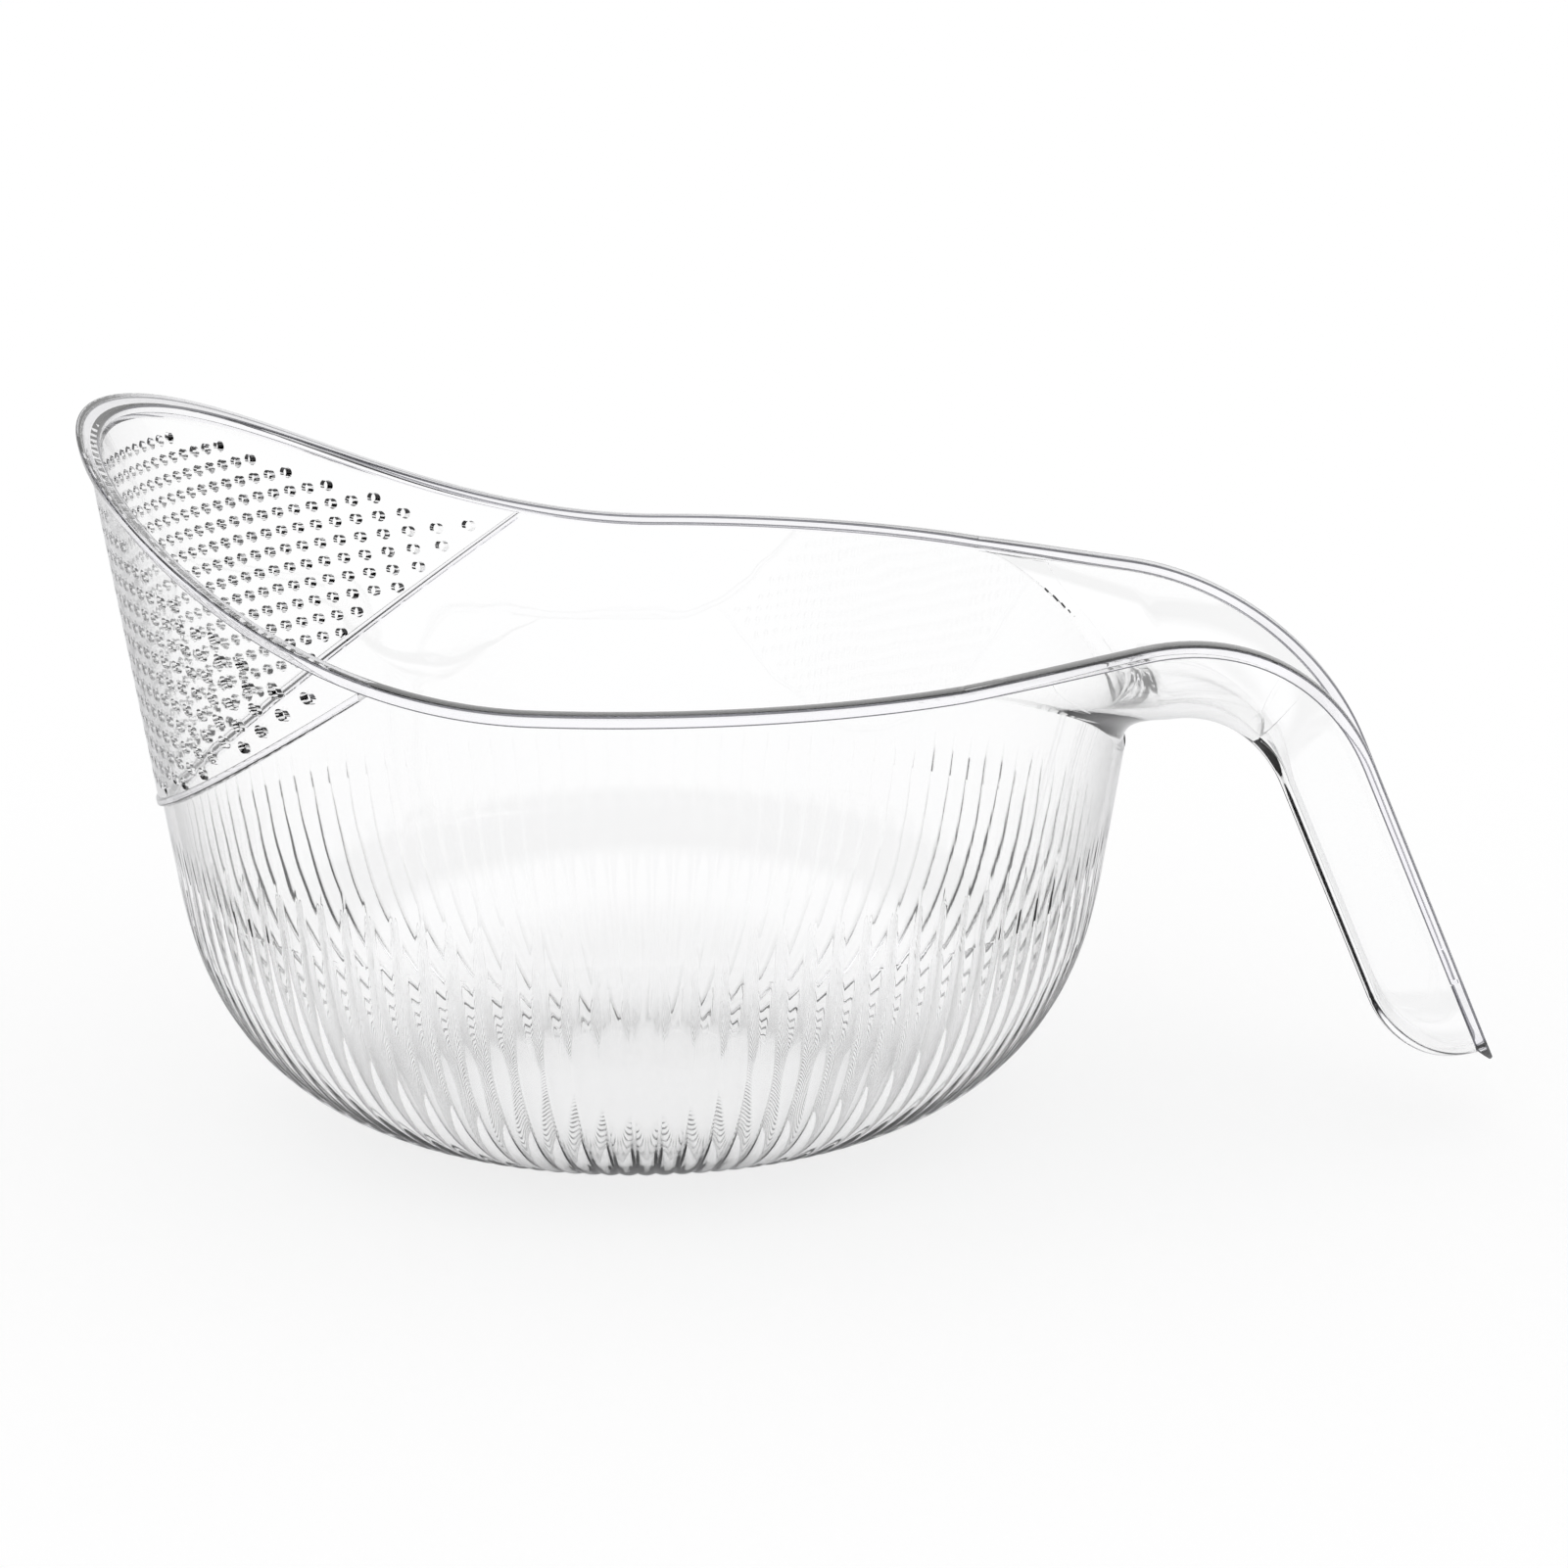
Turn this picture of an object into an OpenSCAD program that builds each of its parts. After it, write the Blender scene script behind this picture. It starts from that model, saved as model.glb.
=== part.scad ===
/* [Bowl] */
// Outer radius of the wall at the belly
belly_r = 115.8; // [110:0.1:122]
// Height of the belly, where the round bottom meets the leaning wall
belly_h = 64; // [58:1:70]
// Outward lean of the upper wall, in degrees
wall_lean = 8.8; // [7:0.1:11]
// Radius of the flat base that the bowl stands on
base_r = 42; // [36:1:48]
// Thickness of the flat base
base_t = 3; // [2.5:0.1:4]
// Thickness of every wall
wall = 2.5; // [2:0.1:3]

/* [Flutes] */
// Number of flutes round the bottom
flute_count = 108; // [84:12:120]
// Depth of the groove between two flutes
groove_d = 0.8; // [0.4:0.1:1.2]
// Width of the groove between two flutes
groove_w = 1; // [0.6:0.1:1.6]

/* [Rim] */
// Height of the rim along the sides and at the handle
side_h = 128.7; // [122:0.1:135]
// Height of the rim at the middle of the raised spout
spout_h = 174; // [165:0.5:182]
// Distance behind the bowl's axis at which the rim starts to rise
sweep_x = 9; // [0:1:15]
// Distance from the bowl's axis to the middle of the spout
spout_x = 130; // [126:1:136]
// Height of the rim bead
bead_h = 3; // [2.5:0.1:4]
// How far the rim bead stands out from the wall
flange = 2.5; // [2:0.1:3.5]

/* [Strainer] */
// Lowest point of the strainer's stepped edge
step_low_h = 80; // [76:1:84]
// Slope of the stepped edge, in degrees
step_slope = 34.6; // [33:0.1:37]
// How far the strainer stands out from the wall below it
step_out = 0.8; // [0.5:0.1:1.2]
// Thickness of the strainer's panel
panel_t = 1.8; // [1.5:0.1:2.5]
// Height of the bead along the stepped edge
edge_h = 2; // [1.5:0.1:3]
// How far the edge bead stands out from the strainer
edge_out = 0.6; // [0.4:0.1:1]
// Diameter of a drain hole
hole_d = 3.2; // [2.4:0.1:4]
// Distance from one drain hole to the next
hole_pitch = 7; // [6:0.5:9]
// Bare margin between the drain holes and the rim bead
rim_margin = 6; // [4:0.5:10]
// Bare margin between the drain holes and the stepped edge
edge_margin = 3; // [2:0.5:6]
// Distance from the middle plane to the outermost drain holes
field_half = 102; // [80:1:104]

/* [Handle] */
// Distance from the bowl's axis to where the rim turns off into the handle
join_x = 82.4; // [80:0.1:88]
// Length of rim over which the handle narrows
flare_len = 117.5; // [112:0.5:124]
// Half width of the handle's walls along its straight leg
leg_half = 14; // [12:0.5:16]
// Half width of the gutter's flat floor, outside
floor_half = 10; // [8:0.5:11]
// Angle at which the handle's rim climbs away from the bowl, in degrees
root_rise = 2.2; // [1:0.1:3]
// Depth of the gutter at its root, below the rim of the bowl, outside
root_depth = 23.6; // [22:0.1:25]
// Depth of the gutter along its straight leg, outside
leg_depth = 23; // [21:0.5:25]
// Distance from the bowl's axis to the start of the bend
bend_x = 122.5; // [120:0.5:126]
// Radius of the rim in the bend
bend_r = 61; // [58:0.5:64]
// Radius of the floor in the bend, outside
floor_bend_r = 30; // [28:0.5:32]
// Slope of the straight leg, in degrees
bend_angle = 66.7; // [64:0.1:69]
// Length of the straight leg before its rounded end
leg_len = 59; // [50:1:61]
// Length of the rounded end, outside
end_len = 24; // [22:0.5:26]
// How far the pointed lip reaches past the rounded end
lip_len = 3; // [2:0.5:6]
// Height of the step in the gutter's floor where the root meets the leg
floor_step = 1.5; // [1:0.1:2]
// Height of the sill between the bowl and the gutter, above the gutter's floor
sill_h = 3; // [2:0.5:5]
// Radius of the fillet under the handle, against the bowl
root_fillet = 9; // [6:0.5:11]

/* [Hidden] */

$fn = 120;
clear = [0.84, 0.91, 0.95, 0.55];
clear_edge = [0.62, 0.71, 0.80, 0.7];
// Overrun of every cut
cut = 1;
// Exponents of the round bottom, the narrowing handle and the pointed lip
bottom_power = 2.45;
flare_power = 2.1;
tip_power = 2.2;
// The spout's rise is a square curve that levels out a little at its very end
spout_ease_share = 0.06;
spout_ease_power = 8;
// Steps in which the curved outlines are drawn
curve_steps = 14;
bottom_steps = 14;
side_steps = 7;
bend_steps = 10;
end_steps = 7;
// Turn at which the closing rounded end stops, just short of a point
end_turn = 88;
// Times that the search for the bowl's wall is halved
halvings = 24;
// Part of the belly's height up to which the grooves between the flutes reach
flute_top_share = 0.75;
// Turn along the round bottom at which the grooves end, just before the base
flute_end_turn = 85;
// Height above the surface at which a groove starts and ends
groove_runout = 0.2;
// Part of a flute by which the first groove lies off the bowl's long axis
half_turn_share = 0.5;
// Part of the bend's angle at which the root ends and the gutter starts
root_end_share = 0.62;
// Places along the root, from the bowl to the bend
root_shares = [0, 0.06, 0.14, 0.25, 0.4, 0.6, 0.8, 1];

lean = tan(wall_lean);
wall_x = wall / cos(wall_lean);

function lerp(a, b, u) = a + (b - a) * u;

// Outer radius of the leaning wall at height z
function wall_r(z) = belly_r + lean * (z - belly_h);

// Height of the rim at distance x from the bowl's axis
function rim_z(x) =
    let (t = max(0, -x - sweep_x) / (spout_x - sweep_x))
    side_h + (spout_h - side_h)
        * ((1 + spout_ease_share) * t * t - spout_ease_share * pow(t, spout_ease_power));

rim_reach = wall_r(spout_h) + flange + cut;
// Height and reach past the whole bowl
over_h = rim_z(-rim_reach) + cut;
over_x = rim_reach + flare_len;

// Point of the round bottom, with t from 0 at the belly to 90 at the base
function bottom_pt(t, top_r, low_r, low_z) =
    let (e = 2 / bottom_power,
         z = belly_h - (belly_h - low_z) * pow(sin(t), e),
         span = top_r - lean * (belly_h - low_z) - low_r)
    [top_r - lean * (belly_h - z) - span * (1 - pow(cos(t), e)), z];

function bottom_outer(t) = bottom_pt(t, belly_r, base_r, 0);
function bottom_inner(t) = bottom_pt(t, belly_r - wall_x, base_r, base_t);

module standing_base() {
    color(clear) cylinder(r = base_r, h = base_t);
}

// Depth of a groove at one of its stations, from which it runs out past the surface at both ends
function groove_depth(i) =
    i == 0 || i == bottom_steps ? -groove_runout : groove_d * min(1, i / side_steps);

// Blade that cuts one groove between two flutes, in the plane of the bowl's axis
module groove_blade() {
    first = asin(pow(1 - flute_top_share, bottom_power / 2));
    angles = [for (i = [0:bottom_steps]) lerp(first, flute_end_turn, i / bottom_steps)];
    outside = [for (t = angles) bottom_outer(t) + cut * [cos(t), -sin(t)]];
    inside = [for (i = [bottom_steps:-1:0]) let (t = angles[i])
        bottom_outer(t) - groove_depth(i) * [cos(t), -sin(t)]];
    rotate([90, 0, 0]) linear_extrude(groove_w, center = true) polygon(concat(outside, inside));
}

module fluted_bottom() {
    angles = [for (i = [0:bottom_steps]) 90 * i / bottom_steps];
    outside = [for (t = angles) bottom_outer(t)];
    inside = [for (i = [bottom_steps:-1:0]) bottom_inner(angles[i])];
    color(clear) difference() {
        rotate_extrude() polygon(concat(outside, inside));
        for (i = [0:flute_count - 1]) rotate(360 * (i + half_turn_share) / flute_count) groove_blade();
    }
}

// Ring of the leaning wall between two heights, with its faces moved in and out
module wall_ring(low, high, inward, outward) {
    rotate_extrude() polygon([
        [wall_r(low) - inward, low], [wall_r(low) + outward, low],
        [wall_r(high) + outward, high], [wall_r(high) - inward, high]]);
}

// Prism along the bowl's depth, from an outline seen from the side
module side_prism(points) {
    rotate([90, 0, 0]) linear_extrude(2 * rim_reach, center = true) polygon(points);
}

// Points of the rim seen from the side, lowered by a drop
function rim_line(drop) = concat(
    [[over_x, side_h - drop], [-sweep_x, side_h - drop]],
    [for (i = [1:curve_steps]) let (x = -lerp(sweep_x, rim_reach, i / curve_steps))
        [x, rim_z(x) - drop]]);

module below_rim(drop) {
    side_prism(concat([[-rim_reach, -cut], [over_x, -cut]], rim_line(drop)));
}

// Height of the strainer's stepped edge at distance x from the bowl's axis
function step_z(x) = step_low_h + tan(step_slope) * (x + wall_r(step_low_h));

module above_step(rise) {
    side_prism([[-rim_reach, step_z(-rim_reach) + rise], [rim_reach, step_z(rim_reach) + rise],
                [-rim_reach, step_z(rim_reach) + rise]]);
}

module upper_wall() {
    color(clear) difference() {
        intersection() {
            wall_ring(belly_h, over_h, wall_x, 0);
            below_rim(bead_h);
        }
        above_step(0);
        gutter_notch();
    }
}

// Whether a drain hole at depth y and height z lies in the strainer's field
function in_field(y, z) =
    let (x = -sqrt(pow(wall_r(z), 2) - y * y))
    abs(y) <= field_half && z + hole_d / 2 < rim_z(x) - bead_h - rim_margin
        && z - hole_d / 2 > step_z(x) + edge_h + edge_margin;

module strainer_panel() {
    columns = floor(field_half / hole_pitch);
    rows = floor((spout_h - step_low_h) / hole_pitch);
    color(clear) difference() {
        intersection() {
            wall_ring(belly_h, over_h, panel_t / cos(wall_lean) - step_out, step_out);
            below_rim(bead_h);
            above_step(edge_h);
        }
        for (i = [-columns:columns], j = [0:rows])
            let (y = i * hole_pitch, z = step_low_h + j * hole_pitch)
            if (in_field(y, z))
                translate([-rim_reach, y, z]) rotate([0, 90, 0]) cylinder(d = hole_d, h = rim_reach);
    }
}

module strainer_edge_bead() {
    color(clear_edge) difference() {
        intersection() {
            wall_ring(belly_h, over_h, wall_x, step_out + edge_out);
            below_rim(bead_h);
            above_step(0);
        }
        above_step(edge_h);
    }
}

module rim_bead() {
    color(clear_edge) difference() {
        intersection() {
            wall_ring(belly_h, over_h, wall_x, flange);
            below_rim(0);
        }
        below_rim(bead_h);
        translate([join_x, -rim_reach, 0]) cube([rim_reach, 2 * rim_reach, over_h]);
    }
}

join_y = sqrt(pow(wall_r(side_h), 2) - join_x * join_x);
root_len = (bend_x - join_x) / cos(root_rise);
bend_turn = bend_angle + root_rise;
bend_len = bend_r * bend_turn * PI / 180;
leg_start = root_len + bend_len;
leg_end = leg_start + leg_len;
root_end = root_len + bend_len * root_end_share;
flare_drop = join_y - leg_half;
// Makes the handle's rim leave the bowl's rim without a corner
flare_ease = flare_power - join_x / join_y * flare_len / flare_drop;
// Centres of the rim's bend and of the floor's, placed so that the leg gets its depth
bend_centre = [bend_x + bend_r * sin(root_rise),
               side_h + root_len * sin(root_rise) - bend_r * cos(root_rise)];
floor_bend_z = side_h - root_depth - floor_bend_r;
floor_bend_x = bend_centre[0] + (bend_r - leg_depth - floor_bend_r
    - (floor_bend_z - bend_centre[1]) * cos(bend_angle)) / sin(bend_angle);

// Half width of the handle's walls at distance s along its rim
function half_w(s) =
    let (left = 1 - min(1, s / flare_len))
    leg_half + flare_drop * pow(left, flare_power) * (1 + flare_ease * (1 - left));

// How much wider than square across a wall is where the handle narrows
function widen(s) =
    let (left = 1 - min(1, s / flare_len),
         slope = flare_drop / flare_len * pow(left, flare_power - 1)
             * (flare_power * (1 + flare_ease * (1 - left)) - flare_ease * left))
    sqrt(1 + slope * slope);

// Share of the bend that is done at distance s along the rim
function bend_share(s) = min(1, (s - root_len) / bend_len);

// Place of the rim, seen from the side, at distance s along it
function rim_at(s) =
    s <= root_len ? [join_x + s * cos(root_rise), side_h + s * sin(root_rise)] :
    let (a = bend_turn * bend_share(s) - root_rise, along = max(0, s - leg_start))
    bend_centre + bend_r * [sin(a), cos(a)] + along * [cos(bend_angle), -sin(bend_angle)];

// Place of the gutter's floor, outside, under the same point of the rim
function floor_at(s) =
    s <= root_len ? [lerp(join_x, floor_bend_x, s / root_len), side_h - root_depth] :
    let (a = bend_angle * bend_share(s), along = max(0, s - leg_start))
    [floor_bend_x, floor_bend_z] + floor_bend_r * [sin(a), cos(a)]
        + along * [cos(bend_angle), -sin(bend_angle)];

function depth_at(s) = norm(floor_at(s) - rim_at(s));

// Point at distance s, at a share q of the depth and at half width y
function handle_pt(s, q, y) =
    let (p = rim_at(s) + q * (floor_at(s) - rim_at(s))) [p[0], y, p[1]];

// Angles of the section, from under the rail to the floor
function section_angle(i, depth) = lerp(asin(bead_h / depth), 90, i / side_steps);

// Share by which the floor dips towards the bowl, for the fillet underneath
function fillet_share(d) =
    d >= root_fillet ? 0 : (1 - sqrt(1 - pow(1 - d / root_fillet, 2))) * root_fillet / root_depth;

function outer_pt(s, i, fillet = 0) =
    let (b = section_angle(i, depth_at(s)))
    handle_pt(s, sin(b) * (1 + fillet * sin(b)), lerp(floor_half, half_w(s), cos(b)));

function inner_pt(s, i, pad = 0) =
    let (depth = depth_at(s) - wall - pad, b = section_angle(i, depth))
    handle_pt(s, sin(b) * depth / depth_at(s),
        lerp(floor_half - wall / 2, half_w(s) - wall * widen(s), cos(b)));

// How far a point lies outside the bowl's wall
function outside_bowl(p) = norm([p[0], p[1]]) - wall_r(p[2]);

// Distance along the rim at which a line of the root leaves the bowl, by halving
function root_start(i, inside, low = 0, high = root_len, left = halvings) =
    let (mid = (low + high) / 2, p = inside ? inner_pt(mid, i) : outer_pt(mid, i, root_fillet / root_depth))
    left == 0 ? mid :
    outside_bowl(p) > 0 ? root_start(i, inside, low, mid, left - 1)
                        : root_start(i, inside, mid, high, left - 1);

// Half a section mirrored into a whole one, from one rim to the other
function mirrored(half) = concat(
    [for (p = half) [p[0], -p[1], p[2]]], [for (i = [len(half) - 1:-1:0]) half[i]]);

// Solid between an outer and an inner grid of sections, open at the top
module gutter_shell(outer, inner) {
    rows = len(outer);
    across = len(outer[0]);
    function at(side, k, j) = (side * rows + k) * across + j;
    function quad(a, b, c, d) = [[a, b, c], [a, c, d]];
    faces = [
        for (k = [0:rows - 2], j = [0:across - 2]) each concat(
            quad(at(0, k, j), at(0, k, j + 1), at(0, k + 1, j + 1), at(0, k + 1, j)),
            quad(at(1, k, j), at(1, k + 1, j), at(1, k + 1, j + 1), at(1, k, j + 1))),
        for (k = [0:rows - 2]) each concat(
            quad(at(0, k, 0), at(0, k + 1, 0), at(1, k + 1, 0), at(1, k, 0)),
            quad(at(0, k, across - 1), at(1, k, across - 1), at(1, k + 1, across - 1), at(0, k + 1, across - 1))),
        for (j = [0:across - 2]) each concat(
            quad(at(0, 0, j), at(1, 0, j), at(1, 0, j + 1), at(0, 0, j + 1)),
            quad(at(0, rows - 1, j), at(0, rows - 1, j + 1), at(1, rows - 1, j + 1), at(1, rows - 1, j)))];
    points = concat([for (row = outer) each row], [for (row = inner) each row]);
    polyhedron(points = points, faces = faces, convexity = bend_steps);
}

root_out_start = [for (i = [0:side_steps]) root_start(i, false)];
root_in_start = [for (i = [0:side_steps]) root_start(i, true)];
root_bends = [for (k = [1:bend_steps / 2]) lerp(root_len, root_end, 2 * k / bend_steps)];

function root_outer(u) = [for (i = [0:side_steps])
    let (s = lerp(root_out_start[i], root_len, u))
    outer_pt(s, i, fillet_share(s - root_out_start[i]))];
function root_inner(u) = [for (i = [0:side_steps]) inner_pt(lerp(root_in_start[i], root_len, u), i)];

module handle_root() {
    outer = concat([for (u = root_shares) mirrored(root_outer(u))],
        [for (s = root_bends) mirrored([for (i = [0:side_steps]) outer_pt(s, i)])]);
    inner = concat([for (u = root_shares) mirrored(root_inner(u))],
        [for (s = root_bends) mirrored([for (i = [0:side_steps]) inner_pt(s, i)])]);
    color(clear) gutter_shell(outer, inner);
}

// Opening in the bowl's wall through which the gutter's hollow joins the bowl's
module gutter_notch() {
    sill_z = side_h - root_depth + wall + sill_h;
    half = [for (i = [0:side_steps]) let (p = inner_pt(root_in_start[i], i)) [p[1], max(p[2], sill_z)]];
    outline = concat([[half[0][0], over_h]], half);
    points = concat(outline, [for (i = [len(outline) - 1:-1:0]) [-outline[i][0], outline[i][1]]]);
    translate([join_x - wall_x, 0, 0]) rotate([90, 0, 90]) linear_extrude(rim_reach) polygon(points);
}

// Places along the handle from the end of the root to the end of the leg
leg_stations = concat([for (k = [0:bend_steps / 2]) lerp(root_end, leg_start, 2 * k / bend_steps)],
    [flare_len, leg_end]);

module handle_gutter() {
    function pad(s) = floor_step * max(0, 1 - (s - root_end) / (leg_start - root_end));
    outer = [for (s = leg_stations) mirrored([for (i = [0:side_steps]) outer_pt(s, i)])];
    inner = [for (s = leg_stations) mirrored([for (i = [0:side_steps]) inner_pt(s, i, pad(s))])];
    color(clear) gutter_shell(outer, inner);
}

// Section of the rounded end, shrunk towards the rim's plane
function end_section(points, centre, along, shrink) =
    let (axis = [cos(bend_angle), 0, -sin(bend_angle)])
    [for (p = points) centre + (p - centre) * shrink + axis * along];

module handle_end_cap() {
    top = handle_pt(leg_end, bead_h / depth_at(leg_end), 0);
    outer_start = mirrored([for (i = [0:side_steps]) outer_pt(leg_end, i)]);
    inner_start = mirrored([for (i = [0:side_steps]) inner_pt(leg_end, i)]);
    turns = [for (k = [0:end_steps]) end_turn * k / end_steps];
    outer = [for (t = turns) end_section(outer_start, top, end_len * sin(t), cos(t))];
    inner = [for (t = turns) end_section(inner_start, top, (end_len - wall) * sin(t), cos(t))];
    color(clear) gutter_shell(outer, inner);
}

// Rail along one side of the handle, with side 1 at the front or -1 at the back
module handle_rail(side) {
    stations = concat([for (u = root_shares) u * root_len], root_bends,
        [for (i = [1:len(leg_stations) - 1]) leg_stations[i]]);
    outer = [for (s = stations) let (y = -side * (half_w(s) + flange * widen(s)))
        [handle_pt(s, 0, y), handle_pt(s, bead_h / depth_at(s), y)]];
    inner = [for (s = stations) let (y = -side * (half_w(s) - wall * widen(s)))
        [handle_pt(s, 0, y), handle_pt(s, bead_h / depth_at(s), y)]];
    color(clear_edge)
        if (side > 0) gutter_shell(inner, outer);
        else gutter_shell(outer, inner);
}

module handle_rail_left() {
    handle_rail(1);
}

module handle_rail_right() {
    handle_rail(-1);
}

module hanging_lip() {
    place = handle_pt(leg_end, 0, 0);
    reach = end_len + lip_len;
    outer = leg_half + flange;
    open = leg_half - wall;
    open_len = end_len - wall;
    function tip(i) = outer * (1 - pow(i / end_steps, tip_power));
    front = [for (i = [0:end_steps]) [reach * i / end_steps, -tip(i)]];
    back = [for (i = [end_steps - 1:-1:0]) [reach * i / end_steps, tip(i)]];
    hollow = [for (k = [0:2 * end_steps]) let (t = 90 - 180 * k / (2 * end_steps))
        [open_len * cos(t), open * sin(t)]];
    color(clear_edge) translate(place) rotate([0, bend_angle, 0]) translate([0, 0, -bead_h])
        linear_extrude(bead_h) polygon(concat(front, back, hollow));
}

standing_base();
fluted_bottom();
upper_wall();
strainer_panel();
strainer_edge_bead();
rim_bead();
handle_root();
handle_gutter();
handle_end_cap();
handle_rail_left();
handle_rail_right();
hanging_lip();
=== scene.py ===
import math

import bmesh
import bpy
import numpy as np
from mathutils import Euler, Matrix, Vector


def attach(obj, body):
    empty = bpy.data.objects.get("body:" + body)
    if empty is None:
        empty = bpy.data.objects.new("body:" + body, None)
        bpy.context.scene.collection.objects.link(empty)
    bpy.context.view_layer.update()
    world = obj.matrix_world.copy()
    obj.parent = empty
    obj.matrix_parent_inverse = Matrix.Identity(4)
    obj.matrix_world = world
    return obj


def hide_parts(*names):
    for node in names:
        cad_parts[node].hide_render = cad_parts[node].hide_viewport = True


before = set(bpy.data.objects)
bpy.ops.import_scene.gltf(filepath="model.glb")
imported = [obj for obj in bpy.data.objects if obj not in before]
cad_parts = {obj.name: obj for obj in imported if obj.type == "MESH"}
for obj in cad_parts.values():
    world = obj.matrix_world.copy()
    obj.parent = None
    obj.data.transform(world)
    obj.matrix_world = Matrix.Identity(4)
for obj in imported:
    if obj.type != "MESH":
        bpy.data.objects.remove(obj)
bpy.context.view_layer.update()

# Sizes of the basket in millimetres, as in the part's source, but for a lower sill and softer corners
BELLY_R, BELLY_H, BASE_R, BASE_T, WALL = 115.8, 64.0, 42.0, 3.0, 2.5
LEAN = math.tan(math.radians(8.8))
WALL_X = WALL / math.cos(math.radians(8.8))
SIDE_H, SPOUT_H, SWEEP_X, SPOUT_X, BEAD_H, FLANGE = 128.7, 174.0, 9.0, 130.0, 3.0, 2.5
EASE_SHARE, EASE_POWER, BOTTOM_POWER = 0.06, 8, 2.45
STEP_LOW, STEP_SLOPE, STEP_OUT, EDGE_H, EDGE_OUT = 80.0, math.tan(math.radians(34.6)), 0.8, 2.0, 0.6
PANEL_T = 1.8
PANEL_IN = PANEL_T / math.cos(math.radians(8.8)) - STEP_OUT
JOIN_X, FLARE_LEN, FLARE_POWER, LEG_HALF, FLOOR_HALF = 82.4, 117.5, 2.1, 14.0, 10.0
RISE, BEND_ANGLE = math.radians(2.2), math.radians(66.7)
ROOT_DEPTH, LEG_DEPTH, BEND_X, BEND_R, FLOOR_BEND_R = 23.6, 23.0, 122.5, 61.0, 30.0
LEG_LEN, END_LEN, LIP_LEN, TIP_POWER, FLOOR_STEP, SILL_H, ROOT_FILLET = 59.0, 24.0, 3.0, 2.2, 1.5, 0.6, 9.0
ROOT_END_SHARE, SECTION_STEPS, END_TURN, FILLET_POWER, SILL_EASE = 0.62, 7.0, math.radians(88), 7, 1.0

# Flutes and drain holes, finer than in the source
FLUTES, FLUTE_PARTS, FLUTE_DEPTH = 108, 12, 0.65
FLUTE_TOP, FLUTE_FULL = 78.0, 44.0
FLUTE_NARROW, FLUTE_WIDEN_POWER, FLUTE_DEEPEN_POWER = 0.2, 1.6, 0.8
FLUTE_FADE_R, FLUTE_END_TURN = 95.0, math.radians(6)
HOLE_PITCH, HOLE_D, HOLE_SIDES, ROD_REACH = 5.0, 2.9, 16, 6.0
HOLE_TURN_SHARE = 0.65
HOLE_FIRST_Z, RIM_MARGIN, EDGE_MARGIN, FIELD_HALF = 82.6, 4.4, 0.4, 110.0

# Rounded corners in millimetres, and shares of a height where the name says so
BEAD_INNER_CORNER, BEAD_OUTER_CORNER, BEAD_LOW_CORNER = 0.5, 0.9, 0.4
STEP_CORNER, STEP_CORNER_SHARE = 0.5, 0.25
LIP_TIP_SHARE, LIP_TOP_CORNER, LIP_EDGE_CORNER, LIP_FOOT_CORNER = 0.3, 0.35, 0.6, 0.5
LIP_EDGE_SHARE, LIP_FOOT_SHARE = 0.4, 0.3

# The wall near the handle's opening: half of its angle, the rounding of its edge, and the least wall left
OPENING_HALF, OPENING_ROUND, OPENING_LIP, OPENING_SKIN = 0.9, 2.3, 0.1, 0.05
OPENING_FADE_LOW, OPENING_FADE = 1.0, 5.0
OPENING_DEGREES, OPENING_COLUMNS = 52, 417

# Length over which the rails stop leaning with the wall
RAIL_LEAN_LEN = 30.0

# Rows of the bottom, in degrees from the belly down, and of the handle's root, as shares of its length
BOTTOM_DEGREES = np.concatenate([np.linspace(0, 60, 66), np.linspace(61, 90, 36)])
ROOT_SHARES = np.concatenate([np.linspace(0, 0.3, 13), np.linspace(0.34, 1, 14)])

# Points closer than this many millimetres are one point
SAME_POINT = 2e-4
SMOOTH_ANGLE, FLUTE_SMOOTH_ANGLE = 32, 60
RIM_COLUMNS = 361

# Heights between which the rim lies, and one above everything, for an edge that is not there
RIM_LOW, RIM_HIGH, NO_EDGE = 100.0, 200.0, 1e3

# How often a search halves its range, or repeats, and the angles tried for the strainer's corner
HALVINGS, ROOT_HALVINGS, REPEATS = 40, 30, 60
CORNER_ANGLES = np.linspace(0.5, 1.5, 4001)
LEAST_PANEL, LEAST_HEIGHT = 0.02, 0.01


def mix(a, b, share):
    return a + (b - a) * share


def wall_r(z):
    return BELLY_R + LEAN * (z - BELLY_H)


def rim_z(x):
    t = np.maximum(0.0, -x - SWEEP_X) / (SPOUT_X - SWEEP_X)
    return SIDE_H + (SPOUT_H - SIDE_H) * ((1 + EASE_SHARE) * t**2 - EASE_SHARE * t**EASE_POWER)


def step_z(x):
    return STEP_LOW + STEP_SLOPE * (x + wall_r(STEP_LOW))


def height_on_wall(theta, line, low, high, out=0.0):
    """Height at which the leaning wall, moved out, meets a line seen from the side."""
    low = np.full_like(theta, low)
    high = np.full_like(theta, high)
    for _ in range(HALVINGS):
        middle = (low + high) / 2
        above = middle > line((wall_r(middle) + out) * np.cos(theta))
        high = np.where(above, middle, high)
        low = np.where(above, low, middle)
    return (low + high) / 2


def rim_height(theta, out=0.0):
    return height_on_wall(theta, rim_z, RIM_LOW, RIM_HIGH, out)


def step_height(theta):
    """The stepped edge falls as the wall leans out, so its height is found by repetition."""
    z = np.full_like(theta, RIM_LOW)
    for _ in range(REPEATS):
        z = step_z(wall_r(z) * np.cos(theta))
    return z


def around(radius, theta, z):
    return np.stack(np.broadcast_arrays(radius * np.cos(theta), radius * np.sin(theta), z), -1)


def from_handle(theta):
    """Angle round the bowl from the handle's middle, the same on both sides."""
    return np.abs(((theta + math.pi) % (2 * math.pi)) - math.pi)


# Materials

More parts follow.
